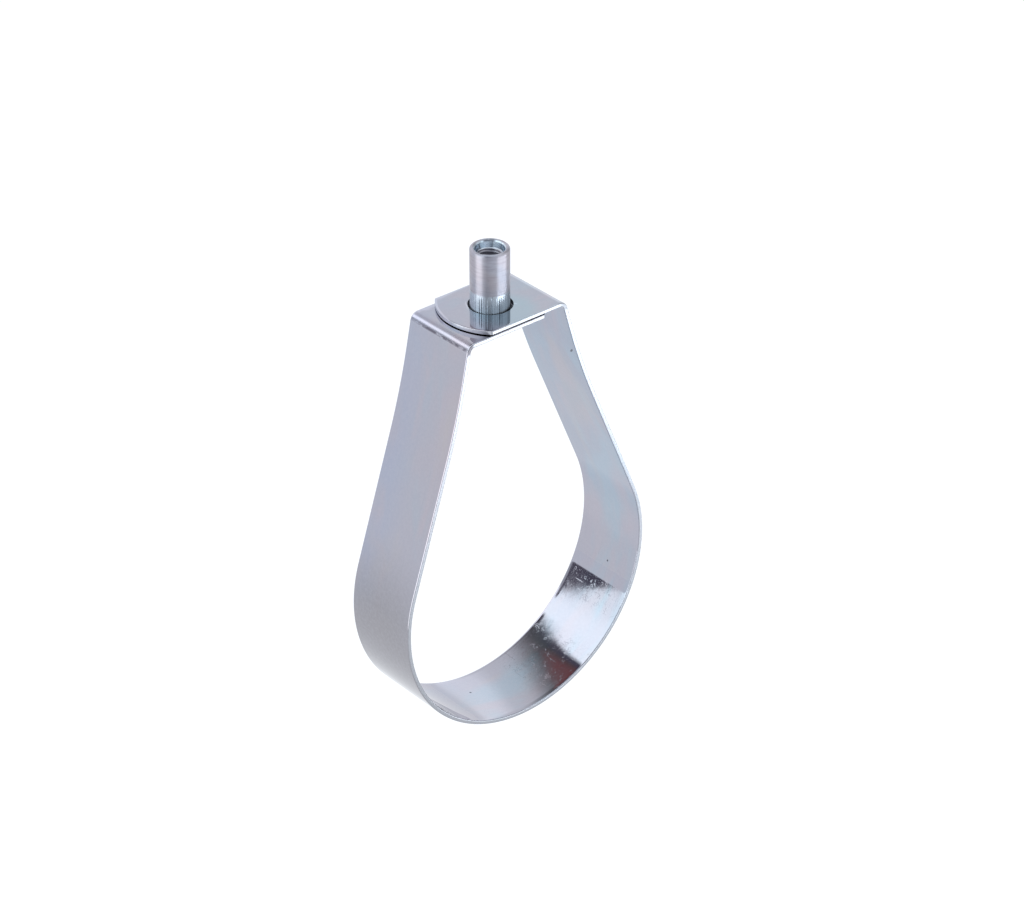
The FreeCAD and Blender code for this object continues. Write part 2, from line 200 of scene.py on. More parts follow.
def strip_rows():
    """Middle line of the whole strip from the right bend round the ring to the left bend."""
    right = leg_side(RIGHT_CORNER, HEAD_HEIGHT)
    left = leg_side(LEFT_CORNER, HEAD_HEIGHT - STRIP_THICKNESS - LAP_GAP)
    rows = side_rows(right)
    start, end = right["leg"], -math.pi - left["leg"]
    radius = RING_RADIUS - STRIP_THICKNESS / 2
    for step in range(RING_STEPS + 1):
        angle = start + (end - start) * step / RING_STEPS
        rows.append((radius * math.cos(angle), radius * math.sin(angle), math.cos(angle), math.sin(angle)))
    rows += [(-x, z, -nx, nz) for x, z, nx, nz in reversed(side_rows(left))]
    return rows


def ripple(point):
    """Small unevenness of the strip, in millimetres along its normal."""
    return sum(height * noise.noise(Vector(point) / length + shift) for height, length, shift in WAVES)


def half_thickness(inside):
    """Half the strip's thickness at a distance inside its cut edge, where its faces droop a little."""
    short = max(0.0, 1.0 - inside / DROOP_REACH)
    return STRIP_THICKNESS / 2 - EDGE_DROOP * short * short


class Sheet:
    """The strip's middle surface: its points, their normals and half thicknesses, and its faces."""

    def __init__(self):
        self.points, self.normals, self.halves, self.faces = [], [], [], []

    def add(self, x, y, z, normal, inside):
        """Add a point that lies some way inside the cut edge and return its number."""
        lift = ripple((x, y, z))
        self.points.append((x + normal[0] * lift, y, z + normal[2] * lift))
        self.normals.append(normal)
        self.halves.append(half_thickness(inside))
        return len(self.points) - 1

    def join(self, one, two, closed):
        """Add the faces between two rows of points, which may be closed rings."""
        for j in range(len(one) if closed else len(one) - 1):
            k = (j + 1) % len(one)
            self.faces.append((one[j], one[k], two[k], two[j]))


def lap_outline(begin, centre, side):
    """Outline of a lap from its bend at x = begin along one edge, round the tip and back along the other."""
    half_width = STRIP_WIDTH / 2
    spread = math.asin(half_width / LAP_END_RADIUS)
    corner = centre + side * LAP_END_RADIUS * math.cos(spread)
    outline = []
    for step in range(1, LAP_STEPS):
        outline.append((begin + (corner - begin) * step / LAP_STEPS, half_width))
    for step in range(2 * ACROSS + 1):
        angle = spread - spread * step / ACROSS
        x = centre + side * LAP_END_RADIUS * math.cos(angle)
        outline.append((x, LAP_END_RADIUS * math.sin(angle)))
    for step in range(1, LAP_STEPS):
        outline.append((corner + (begin - corner) * step / LAP_STEPS, -half_width))
    return outline


def add_lap(sheet, row, tip, height):
    """A flat lap from the row at its bend to its rounded tip, in rings that close in on the swivel hole."""
    side = 1.0 if tip > 0 else -1.0
    centre = tip - side * LAP_END_RADIUS
    up = (0.0, 0.0, 1.0)

    def inside(x, y):
        reach = STRIP_WIDTH / 2 - abs(y)
        if (x - centre) * side > 0:
            reach = min(reach, LAP_END_RADIUS - math.hypot(x - centre, y))
        return max(0.0, reach)

    outline = lap_outline(sheet.points[row[0]][0], centre, side)
    rings = [row + [sheet.add(x, y, height, up, 0.0) for x, y in outline]]
    places = [sheet.points[index][:2] for index in rings[0]]
    for level in range(-1, HOLE_RINGS + 1):
        ring = []
        for x, y in places:
            angle = math.atan2(y, x - HOLE_PLACE)
            away = math.hypot(x - HOLE_PLACE, y)
            inset = DROOP_REACH * (level + 2) / 2
            if level > 0:
                share = (level / HOLE_RINGS) ** HOLE_RING_POWER
                inset = DROOP_REACH + (away - HOLE_RADIUS - DROOP_REACH) * share
            new_x = HOLE_PLACE + (away - inset) * math.cos(angle)
            new_y = (away - inset) * math.sin(angle)
            ring.append(sheet.add(new_x, new_y, height, up, inside(new_x, new_y)))
        rings.append(ring)
    for one, two in zip(rings, rings[1:]):
        sheet.join(one, two, closed=True)


def strip_sheet():
    """The middle surface of the whole strip, from one lap round the ring to the other."""
    sheet = Sheet()
    half_width = STRIP_WIDTH / 2
    inner = half_width - DROOP_REACH
    across = [-half_width, -half_width + DROOP_REACH / 2]
    across += [-inner + 2 * inner * j / ACROSS for j in range(ACROSS + 1)]
    across += [half_width - DROOP_REACH / 2, half_width]
    grid = []
    for x, z, nx, nz in strip_rows():
        grid.append([sheet.add(x, y, z, (nx, 0.0, nz), half_width - abs(y)) for y in across])
    for one, two in zip(grid, grid[1:]):
        sheet.join(one, two, closed=False)
    top = HEAD_HEIGHT - STRIP_THICKNESS / 2
    add_lap(sheet, grid[0], UPPER_TIP, top)
    add_lap(sheet, grid[-1], LOWER_TIP, top - (STRIP_THICKNESS + LAP_GAP))
    return sheet


def skin_mesh(sheet):
    """A closed mesh of both skins of a sheet and the walls along its open edges."""
    count = len(sheet.points)
    skins = [
        tuple((p[axis] + side * half * n[axis]) * MM for axis in range(3))
        for side in (1, -1)
        for p, n, half in zip(sheet.points, sheet.normals, sheet.halves)
    ]
    uses = {}
    for face in sheet.faces:
        for a, b in zip(face, face[1:] + face[:1]):
            uses.setdefault((min(a, b), max(a, b)), []).append((a, b))
    walls = [(a, b, b + count, a + count) for (a, b), *more in uses.values() if not more]
    inner = [tuple(index + count for index in reversed(face)) for face in sheet.faces]
    mesh = bpy.data.meshes.new("hanger_band")
    mesh.from_pydata(skins, [], sheet.faces + inner + walls)
    return mesh


def make_band():
    """The folded strip with its cut edges rounded, the long ones most."""
    mesh = skin_mesh(strip_sheet())
    shape = bmesh.new()
    shape.from_mesh(mesh)
    bmesh.ops.recalc_face_normals(shape, faces=shape.faces)
    for face in shape.faces:
        face.smooth = True
    weight = shape.edges.layers.float.new("bevel_weight_edge")
    for edge in shape.edges:
        if edge.calc_face_angle(0.0) > STRIP_CREASE:
            on_side = all(abs(abs(vert.co.y) / MM - STRIP_WIDTH / 2) < 0.01 for vert in edge.verts)
            edge[weight] = 1.0 if on_side else END_EDGE_SHARE
    shape.to_mesh(mesh)
    shape.free()
    band = new_object("hanger_band", mesh)
    bevel = band.modifiers.new("rounding", "BEVEL")
    bevel.width = EDGE_ROUNDING * MM
    bevel.segments = 3
    bevel.limit_method = "WEIGHT"
    weighted = band.modifiers.new("even", "WEIGHTED_NORMAL")
    weighted.keep_sharp = False
    weighted.weight = 80
    bake_modifiers(band)
    mark_band(band)
    return band


def mark_band(band):
    """Store where the cut edges and the bends are, as values on the points."""
    mesh = band.data
    count = len(mesh.vertices)
    place = np.zeros(count * 3, np.float32)
    mesh.vertices.foreach_get("co", place)
    place = place.reshape(-1, 3) / MM
    facing = np.zeros(count * 3, np.float32)
    mesh.vertices.foreach_get("normal", facing)
    facing = np.abs(facing.reshape(-1, 3))
    x, y, z = place.T
    long_edge = (np.abs(y) > STRIP_WIDTH / 2 - CUT_REACH) * facing[:, 1]
    level = np.hypot(facing[:, 0], facing[:, 1])
    # Both laps lie in the top 4 mm. The upper one ends on the left, the lower one on the right
    laps = z > HEAD_HEIGHT - 4.0
    top_tip = (z > HEAD_HEIGHT - STRIP_THICKNESS - 0.2) & (x < UPPER_TIP + 10.3)
    low_tip = laps & (z < HEAD_HEIGHT - 1.8) & (x > LOWER_TIP - 8.4) & (x < LOWER_TIP + 0.1)
    hole = laps & (np.hypot(x - HOLE_PLACE, y) < HOLE_RADIUS + 0.5)
    cut = np.maximum(long_edge, (top_tip | low_tip | hole) * level)
    cut = np.clip((cut - 0.5) / 0.45, 0, 1)
    # Angle round the outside of each bend, from 0 on the lap to 90 and more on the neck
    turn = np.where(z > HEAD_HEIGHT - 4.5, -90.0, 150.0)
    for corner, sign, top in ((RIGHT_CORNER, 1, HEAD_HEIGHT), (LEFT_CORNER, -1, HEAD_HEIGHT - 2.0)):
        centre = leg_side(corner, top)["bend"]
        out, rise = sign * x - centre[0], z - centre[1]
        away = np.hypot(out, rise)
        near = (out > -1.0) & (rise > -1.5) & (away > 0.3)
        turn = np.where(near, np.degrees(np.arctan2(out, rise)), turn)
    for name, values in (("cut_edge", cut), ("bend_turn", turn)):
        attribute = mesh.attributes.new(name, "FLOAT", "POINT")
        attribute.data.foreach_set("value", values.astype(np.float32))


def make_ring(shape, count, height, radius):
    """A ring of points round the nut's axis. The radius may depend on the angle."""
    ring = []
    for step in range(count):
        angle = 2 * math.pi * step / count
        reach = radius(angle, height) if callable(radius) else radius
        spot = (NUT_AXIS[0] + reach * math.cos(angle), NUT_AXIS[1] + reach * math.sin(angle), height)
        ring.append(shape.verts.new([part * MM for part in spot]))
    return ring


def join_rings(shape, one, two):
    """Faces between two rings, where the finer one may have several points to each of the other's."""
    if len(one) < len(two):
        one, two = two, one
    share = len(one) // len(two)
    for step in range(len(two)):
        coarse = (step + 1) % len(two)
        fine = [one[(step * share + k) % len(one)] for k in range(share + 1)]
        shape.faces.new(fine + [two[coarse], two[step]])


def knurl_radius():
    """Radius of the knurled belt by angle and height, with grooves that run out unevenly at the top."""
    chance = random.Random(GROOVE_SEED)
    grooves = [(KNURL_DEPTH * chance.uniform(*GROOVE_DEPTHS), chance.uniform(*GROOVE_SHIFTS))
               for _ in range(KNURL_COUNT)]

    def radius(angle, height):
        turn = angle / (2 * math.pi) * KNURL_COUNT
        index = int(math.floor(turn + 1e-6)) % KNURL_COUNT
        share = turn - math.floor(turn + 1e-6)
        depth, shift = grooves[index]
        turned = 2 * math.pi * (index + 0.5) / KNURL_COUNT + DEEP_SIDE
        depth *= SHALLOW_SHARE + DEEP_EXTRA * max(0.0, math.cos(turned))
        flank = max(0.0, 1.0 - abs(share - 0.5) / GROOVE_HALF_WIDTH)
        fade = min(1.0, max(0.0, (GROOVE_TOP + shift - height) / GROOVE_RUN_OUT))
        return BARREL_RADIUS - depth * flank * fade

    return radius


def make_blank():
    """The turned and knurled nut before its thread is cut."""
    shape = bmesh.new()
    fine = KNURL_COUNT * KNURL_SAMPLES
    rings = [make_ring(shape, BORE_COLUMNS, NUT_BOTTOM, THREAD_MINOR + BORE_CHAMFER)]
    for step in range(5):
        angle = math.pi / 2 * step / 4
        height = NUT_BOTTOM + FLANGE_ROUNDING * (1 - math.cos(angle))
        radius = FLANGE_RADIUS - FLANGE_ROUNDING * (1 - math.sin(angle))
        rings.append(make_ring(shape, BORE_COLUMNS, height, radius))
    for step in range(4):
        angle = math.pi / 2 * step / 3
        height = FLANGE_TOP - FLANGE_TOP_ROUNDING * (1 - math.sin(angle))
        radius = FLANGE_RADIUS - FLANGE_TOP_ROUNDING * (1 - math.cos(angle))
        rings.append(make_ring(shape, BORE_COLUMNS, height, radius))
    belt = knurl_radius()
    rings += [make_ring(shape, fine, height, belt) for height in BELT_ROWS]
    rings += [make_ring(shape, fine, height, BARREL_RADIUS) for height in BARREL_ROWS]
    for step in range(7):
        angle = math.pi / 2 * step / 6
        height = NUT_TOP - RIM_ROUNDING * (1 - math.sin(angle))
        radius = BARREL_RADIUS - RIM_ROUNDING * (1 - math.cos(angle))
        rings.append(make_ring(shape, fine, height, radius))
    lip = ((0.0, MOUTH_RADIUS + MOUTH_LIP), (0.3 * MOUTH_LIP, MOUTH_RADIUS + 0.3 * MOUTH_LIP),
           (MOUTH_LIP, MOUTH_RADIUS - 0.05))
    for depth, radius in lip + MOUTH_STEPS:
        rings.append(make_ring(shape, BORE_COLUMNS, NUT_TOP - depth, radius))
    rings.append(make_ring(shape, BORE_COLUMNS, NUT_BOTTOM + BORE_CHAMFER, THREAD_MINOR))
    for one, two in zip(rings, rings[1:] + rings[:1]):
        join_rings(shape, one, two)
    bmesh.ops.recalc_face_normals(shape, faces=shape.faces)
    mesh = bpy.data.meshes.new("rod_nut")
    shape.to_mesh(mesh)
    shape.free()
    return new_object("rod_nut", mesh)


def make_thread_cutter():
    """A closed coil with the section of one thread groove, which cuts the rod thread."""
    shape = bmesh.new()
    inner = THREAD_MINOR - CUTTER_INSIDE
    section = []
    for radius, side in ((inner, -1), (THREAD_MAJOR, -1), (THREAD_MAJOR, 1), (inner, 1)):
        section.append((radius, side * (CUTTER_ROOT + (THREAD_MAJOR - radius) * math.tan(CUTTER_FLANK))))
    start = NUT_BOTTOM - CUTTER_BELOW
    turns = (NUT_TOP + CUTTER_ABOVE - start) / THREAD_PITCH
    steps = int(turns * BORE_COLUMNS)
    rings = []
    for step in range(steps + 1):
        angle = 2 * math.pi * step / BORE_COLUMNS + THREAD_PHASE
        height = start + THREAD_PITCH * step / BORE_COLUMNS
        ring = []
        for radius, rise in section:
            x, y = NUT_AXIS[0] + radius * math.cos(angle), NUT_AXIS[1] + radius * math.sin(angle)
            ring.append(shape.verts.new([part * MM for part in (x, y, height + rise)]))
        rings.append(ring)
    for one, two in zip(rings, rings[1:]):
        for k in range(4):
            shape.faces.new((one[k], one[(k + 1) % 4], two[(k + 1) % 4], two[k]))
    shape.faces.new(rings[0])
    shape.faces.new(rings[-1])
    bmesh.ops.recalc_face_normals(shape, faces=shape.faces)
    mesh = bpy.data.meshes.new("thread_cutter")
    shape.to_mesh(mesh)
    shape.free()
    return new_object("thread_cutter", mesh)


def make_nut():
    """The swivel nut with its cut thread."""
    nut = make_blank()
    cutter = make_thread_cutter()
    cut = nut.modifiers.new("thread", "BOOLEAN")
    cut.operation = "DIFFERENCE"
    cut.solver = "EXACT"
    cut.object = cutter
    bake_modifiers(nut)
    bpy.data.objects.remove(cutter)
    shape = bmesh.new()
    shape.from_mesh(nut.data)
    for face in shape.faces:
        face.smooth = True
    for edge in shape.edges:
        if len(edge.link_faces) == 2 and edge.calc_face_angle(0.0) > NUT_CREASE:
            edge.smooth = False
    shape.to_mesh(nut.data)
    shape.free()
    mark_grooves(nut)
    return nut


def mark_grooves(nut):
    """Store how deep each point of the belt lies in a groove, from 0 to 1, for the painted shade in the
    grooves.
    """
    mesh = nut.data
    place = np.zeros(len(mesh.vertices) * 3, np.float32)
    mesh.vertices.foreach_get("co", place)
    x, y, z = place.reshape(-1, 3).T / MM
    deep = BARREL_RADIUS - 0.01 - np.hypot(x - NUT_AXIS[0], y - NUT_AXIS[1])
    on_belt = (z > FLANGE_TOP + 0.5) & (z < BELT_TOP + 1.0) & (deep < 1.0)
    deep = np.where(on_belt, np.clip(deep / 0.1, 0, 1), 0)
    mesh.attributes.new("groove", "FLOAT", "POINT").data.foreach_set("value", deep.astype(np.float32))


class Nodes:
    """Short calls for building a node tree."""

    def __init__(self, tree):
        self.tree = tree
        tree.nodes.clear()

    def add(self, kind, out=0, settings=None, **inputs):
        """Make a node, set its options, fill its inputs with values or links and return one output."""
        node = self.tree.nodes.new(kind)
        for key, value in (settings or {}).items():
            setattr(node, key, value)
        for key, value in inputs.items():
            numbered = key[0] == "i" and key[1:].isdigit()
            socket = node.inputs[int(key[1:]) if numbered else key.replace("_", " ")]
            if isinstance(value, bpy.types.NodeSocket):
                self.tree.links.new(value, socket)
            else:
                socket.default_value = value
        return node.outputs[out]

    def math(self, operation, a, b=0.0, c=0.0):
        """One step of arithmetic."""
        return self.add("ShaderNodeMath", settings={"operation": operation}, i0=a, i1=b, i2=c)

    def times(self, first, *more):
        """The product of some values."""
        for value in more:
            first = self.math("MULTIPLY", first, value)
        return first

    def plus(self, value, *parts):
        """A value with a share of others added to it. Each part has the other value and its share."""
        for other, share in parts:
            value = self.math("ADD", value, self.times(other, share))
        return value

    def ramp(self, value, low, high, out_low=0.0, out_high=1.0):
        """A smooth step from one value to another."""
        smooth = {"interpolation_type": "SMOOTHSTEP"}
        return self.add("ShaderNodeMapRange", 0, smooth, i0=value, i1=low, i2=high, i3=out_low, i4=out_high)

    def near(self, value, centre, full, none, rest=0.0):
        """1 up to a first distance from a centre, and rest from a second one on."""
        return self.ramp(self.math("ABSOLUTE", self.math("SUBTRACT", value, centre)), full, none, 1.0, rest)

    def mix(self, share, a, b, blend="MIX"):
        """A mix of two colours."""
        return self.add("ShaderNodeMix", 2, {"data_type": "RGBA", "blend_type": blend}, i0=share, i6=a, i7=b)

    def vector(self, operation, a, b):
        """Arithmetic on two vectors or colours."""
        return self.add("ShaderNodeVectorMath", 0, {"operation": operation}, i0=a, i1=b)

    def measure(self, operation, a, b=(0.0, 0.0, 0.0)):
        """A number taken from one vector or two."""
        return self.add("ShaderNodeVectorMath", 1, {"operation": operation}, i0=a, i1=b)

    def grown(self, vector, factor):
        """A vector or colour times a number."""
        return self.add("ShaderNodeVectorMath", 0, {"operation": "SCALE"}, i0=vector, Scale=factor)

    def placed(self, vector, scale, shift=(0.0, 0.0, 0.0), turn=(0.0, 0.0, 0.0)):
        """Coordinates scaled, turned and shifted."""
        return self.add("ShaderNodeMapping", Vector=vector, Scale=scale, Location=shift, Rotation=turn)

    def noise(self, vector, scale, detail=2.0, roughness=0.5, distortion=0.0):
        """Cloudy noise between 0 and 1."""
        return self.add("ShaderNodeTexNoise", Vector=vector, Scale=scale, Detail=detail, Roughness=roughness,
                        Distortion=distortion)

    def stored(self, name):
        """A value stored on the mesh's points."""
        return self.add("ShaderNodeAttribute", 2, {"attribute_name": name})


def rgb(*parts):
    """A colour with full alpha."""
    return (*parts, 1.0)


def new_material(name):
    """An empty node material and the calls for its tree."""
    material = bpy.data.materials.new(name)
    material.use_nodes = True
    return material, Nodes(material.node_tree)


def finish_material(n, shader):
    """Connect the shader to the material's output."""
    n.tree.links.new(shader, n.tree.nodes.new("ShaderNodeOutputMaterial").inputs[0])


# Colours of the strip's plating, among them painted shade and a painted dark stripe
STRIP_PLAIN = rgb(0.405, 0.402, 0.460)
STRIP_RIGHT_SHADE = rgb(0.372, 0.390, 0.452)
STRIP_COOL = rgb(0.362, 0.428, 0.498)
STRIP_BLUE = rgb(0.368, 0.395, 0.500)
STRIP_WARM = rgb(0.438, 0.400, 0.445)
STRIP_YELLOW = rgb(0.460, 0.425, 0.410)
STRIP_LOW_LEFT_SHADE = rgb(0.290, 0.285, 0.305)
STRIP_MOTTLE = rgb(0.50, 0.49, 0.54)
STRIP_LEG_SHADE = rgb(0.87, 0.90, 0.94)
STRIP_FRONT_LAP_CYAN = rgb(0.345, 0.440, 0.500)
STRIP_STREAK = rgb(0.33, 0.33, 0.39)
STRIP_DRIED = rgb(0.43, 0.43, 0.48)
STRIP_BEND_DARK_STRIPE = rgb(0.11, 0.10, 0.13)
STRIP_SPECK = rgb(0.06, 0.07, 0.09)
CUT_DARK = rgb(0.44, 0.45, 0.49)
CUT_PALE = rgb(0.62, 0.65, 0.70)
CUT_FRONT_SHADE = rgb(0.62, 0.62, 0.62)
CUT_LEFT_BEND_SHADE = rgb(0.13, 0.12, 0.14)
CUT_IN_HOLE = rgb(0.05, 0.055, 0.065)

# Colours of the nut's plating, with painted shade for the grooves and painted light for the mouth
NUT_WARM = rgb(0.404, 0.382, 0.424)
NUT_COOL = rgb(0.374, 0.382, 0.444)
NUT_LINE = rgb(0.30, 0.28, 0.32)
NUT_DARK_BAND = rgb(0.24, 0.225, 0.265)
NUT_PALE_BAND = rgb(0.47, 0.46, 0.50)
NUT_BELT = rgb(0.45, 0.51, 0.57)
NUT_MOTTLE = rgb(0.30, 0.32, 0.37)
NUT_MOUTH_LIGHT = rgb(0.47, 0.54, 0.61)
NUT_GROOVE_SHADE = rgb(0.12, 0.14, 0.17)

# Specks: place, radius, and a direction in which each is drawn out
SPECKS = (
    (23.79, -13.67, 94.94, 0.42, (-0.293, -0.664, 0.687)),
    (-11.65, 4.93, -57.12, 0.45, (0.0, 0.0, 0.0)),
    (55.06, -1.81, -19.15, 0.40, (0.0, 0.0, 0.0)),
    (24.9, 8.0, -52.7, 0.30, (0.0, 0.0, 0.0)),
)


def strip_tints(n, spot):
    """Tints of the strip's plating, in slanting clouds that are stronger on the right, with painted shade on
    the right and low on the left.
    """
    x, y, z = n.add("ShaderNodeSeparateXYZ", 0, None, Vector=spot).node.outputs
    # Painted shade: darker and bluer on the right, above the ring's middle
    colour = n.mix(n.times(n.ramp(x, 0.0, 0.020), n.ramp(z, 0.0, 0.030)), STRIP_PLAIN, STRIP_RIGHT_SHADE)
    slant = n.placed(spot, (26, 62, 26), turn=(0.5, 0.0, 0.0))
    side = n.ramp(x, -0.035, 0.020, 0.35, 1.0)
    cool = n.ramp(n.noise(slant, 1.0, 2.5, 0.5, 0.7), 0.40, 0.68)
    warm = n.ramp(n.noise(n.placed(slant, (1, 1, 1), (5.3, 2.1, 0.7)), 1.1, 2.5, 0.5, 0.7), 0.42, 0.70)
    blue = n.times(n.ramp(y, -0.006, 0.016), n.ramp(x, -0.045, 0.0, 0.75, 0.0))
    yellow = n.ramp(n.noise(n.placed(slant, (1, 1, 1), (1.3, 7.1, 3.7)), 0.9, 2.0, 0.5, 0.7), 0.55, 0.75)
    colour = n.mix(n.times(cool, side), colour, STRIP_COOL)
    colour = n.mix(blue, colour, STRIP_BLUE)
    colour = n.mix(n.times(warm, 0.7), colour, STRIP_WARM)
    colour = n.mix(n.times(yellow, 0.3), colour, STRIP_YELLOW)
    # Painted shade low on the left, outside the ring
    low_left_shade = n.ramp(n.measure("DISTANCE", spot, (-0.062, 0.0, -0.016)), 0.014, 0.056, 0.95, 0.0)
    colour = n.mix(low_left_shade, colour, STRIP_LOW_LEFT_SHADE)
    colour = n.mix(n.times(n.ramp(n.noise(spot, 800.0, 3.0, 0.65), 0.3, 0.75), 0.16), colour, STRIP_MOTTLE)
    # Painted shade: the right leg is a little darker and bluer
    leg = n.times(n.ramp(x, 0.004, 0.020), n.ramp(z, 0.002, 0.020), n.ramp(z, 0.1155, 0.1175, 1.0, 0.0))
    colour = n.mix(leg, colour, STRIP_LEG_SHADE, "MULTIPLY")
    # Cyan patch on the upper lap in front of the nut
    front_lap_cyan = n.ramp(n.measure("DISTANCE", spot, (-0.0035, -0.007, 0.1195)), 0.008, 0.016, 0.75, 0.0)
    return n.mix(n.times(front_lap_cyan, n.ramp(z, 0.1180, 0.1188)), colour, STRIP_FRONT_LAP_CYAN)


def dried_marks(n, spot):
    """Dried ringlets, pits and hairlines, which scatter light and so show best in a dark reflection."""
    jitter = n.grown(n.add("ShaderNodeTexNoise", 1, Vector=spot, Scale=900.0), 0.0005)
    cell = n.add("ShaderNodeTexVoronoi", Vector=n.vector("ADD", spot, jitter), Scale=620.0)
    ringlet = n.times(n.near(cell, 0.34, 0.03, 0.09), n.ramp(n.noise(spot, 260.0, 2.0, 0.5), 0.50, 0.62))
    pit = n.ramp(n.noise(spot, 2100.0, 2.0, 0.7), 0.62, 0.72)
    one = n.noise(n.placed(spot, (1500, 60, 40), turn=(0.5, 0.35, 0.2)), 1.0, 1.0, 0.4)
    other = n.noise(n.placed(spot, (60, 1500, 50), turn=(-0.6, 0.2, 0.9)), 1.0, 1.0, 0.4)
    hair = n.math("MAXIMUM", n.ramp(one, 0.73, 0.79), n.ramp(other, 0.74, 0.80))
    marks = n.math("MINIMUM", n.plus(ringlet, (pit, 0.7), (hair, 0.8)), 1.0)
    # Most of them lie in two places low on the right of the loop, where it mirrors dark
    x, _, z = n.add("ShaderNodeSeparateXYZ", 0, None, Vector=spot).node.outputs
    round_loop = n.times(n.math("ARCTAN2", z, x), 180 / math.pi)
    mark_places = n.math("MAXIMUM", n.near(round_loop, -32.0, 4.0, 8.0, 0.08),
                    n.near(round_loop, -67.0, 9.0, 14.0, 0.08))
    return n.times(marks, mark_places)


def cut_edges(n, spot, edge, turn, grain, colour):
    """Matt, paler cut edges over the plating's colour, with painted shade in three places."""
    x, y, _ = n.add("ShaderNodeSeparateXYZ", 0, None, Vector=spot).node.outputs
    colour = n.mix(n.times(edge, 0.7), colour, n.mix(grain, CUT_DARK, CUT_PALE))
    # Painted shade: the front edges, which face the right soft box, are a little darker
    colour = n.mix(n.times(n.ramp(y, -0.0166, -0.0160, 1.0, 0.0), edge), colour, CUT_FRONT_SHADE, "MULTIPLY")
    # Painted shade on the left bend's own cut edge
    left_bend_shade = n.times(n.ramp(turn, 10.0, 30.0), n.ramp(turn, 92.0, 110.0, 1.0, 0.0),
                        n.ramp(x, -0.024, -0.020, 1.0, 0.0), edge, 0.8)
    colour = n.mix(left_bend_shade, colour, CUT_LEFT_BEND_SHADE)
    # Little light reaches the walls of the holes
    away = n.measure("DISTANCE", n.placed(spot, (1, 1, 0)), (HOLE_PLACE * MM, 0.0, 0.0))
    wall = n.times(n.ramp(away, (HOLE_RADIUS + 0.1) * MM, (HOLE_RADIUS + 0.5) * MM, 1.0, 0.0), edge,
                   n.ramp(x, -0.012, -0.006, 0.4, 1.0), 0.9)
    return n.mix(wall, colour, CUT_IN_HOLE)


def dark_specks(n, spot, colour):
    """The few small dark specks over a colour."""
    for x, y, z, size, drawn in SPECKS:
        away = n.vector("SUBTRACT", spot, (x * MM, y * MM, z * MM))
        along = n.grown(drawn, n.times(n.measure("DOT_PRODUCT", away, drawn), 0.7))
        away = n.measure("LENGTH", n.vector("SUBTRACT", away, along))
        colour = n.mix(n.ramp(away, size * 0.7 * MM, size * 1.3 * MM, 0.85, 0.0), colour, STRIP_SPECK)
    return colour


def zinc_strip():
    """Bright zinc plating on rolled strip: soft tints, rolling streaks, orange peel and matt cut edges, with
    painted shade and a painted dark stripe in places.
    """
    material, n = new_material("zinc_strip")
    spot = n.add("ShaderNodeTexCoord", 3)
    edge = n.stored("cut_edge")
    turn = n.stored("bend_turn")
    x, y, _ = n.add("ShaderNodeSeparateXYZ", 0, None, Vector=spot).node.outputs
    colour = strip_tints(n, spot)

    # Rolling streaks along the strip
    streak = n.ramp(n.noise(n.placed(spot, (14, 1500, 14)), 1.0, 3.0, 0.6), 0.55, 0.75)
    colour = n.mix(n.times(streak, 0.10), colour, STRIP_STREAK)
    spots = dried_marks(n, spot)
    colour = n.mix(n.times(spots, 0.12), colour, STRIP_DRIED)

    # Rougher, dented, stretched plating just below the outside of the left bend, with a broken stripe of
    # painted dark reflection
    marks = n.ramp(n.noise(n.placed(spot, (500, 360, 500)), 1.0, 3.0, 0.7), 0.33, 0.52)
    marks = n.times(marks, n.ramp(turn, 57.0, 63.0), n.ramp(turn, 71.0, 80.0, 1.0, 0.0),
                    n.ramp(y, 0.006, 0.015, 1.0, 0.3), n.ramp(x, 0.0, 0.004, 1.0, 0.0),
                    n.math("SUBTRACT", 1.0, edge))
    colour = n.mix(n.times(marks, 0.9), colour, STRIP_BEND_DARK_STRIPE)
    bend = n.times(n.ramp(turn, 4.0, 20.0), n.ramp(turn, 80.0, 96.0, 1.0, 0.0))

    grain = n.noise(n.placed(spot, (900, 900, 900)), 1.0, 3.0, 0.65)
    colour = cut_edges(n, spot, edge, turn, grain, colour)
    colour = dark_specks(n, spot, colour)

    gloss = n.ramp(n.noise(spot, 90.0, 3.0, 0.6), 0.3, 0.7, 0.025, 0.045)
    gloss = n.plus(gloss, (bend, 0.15), (marks, 0.12), (edge, 0.27), (spots, 0.22))
    height = n.times(n.noise(spot, 520.0, 1.5, 0.5, 0.3), 0.022)
    height = n.plus(height, (n.noise(spot, 2600.0, 2.0, 0.5), 0.004), (streak, 0.001), (marks, -0.15),
                    (spots, 0.006), (n.times(grain, edge), 0.5))
    bump = n.add("ShaderNodeBump", Strength=1.0, Distance=0.00005, Height=height)
    finish_material(n, n.add("ShaderNodeBsdfPrincipled", Base_Color=colour, Metallic=1.0, Roughness=gloss,
                             Normal=bump))
    return material


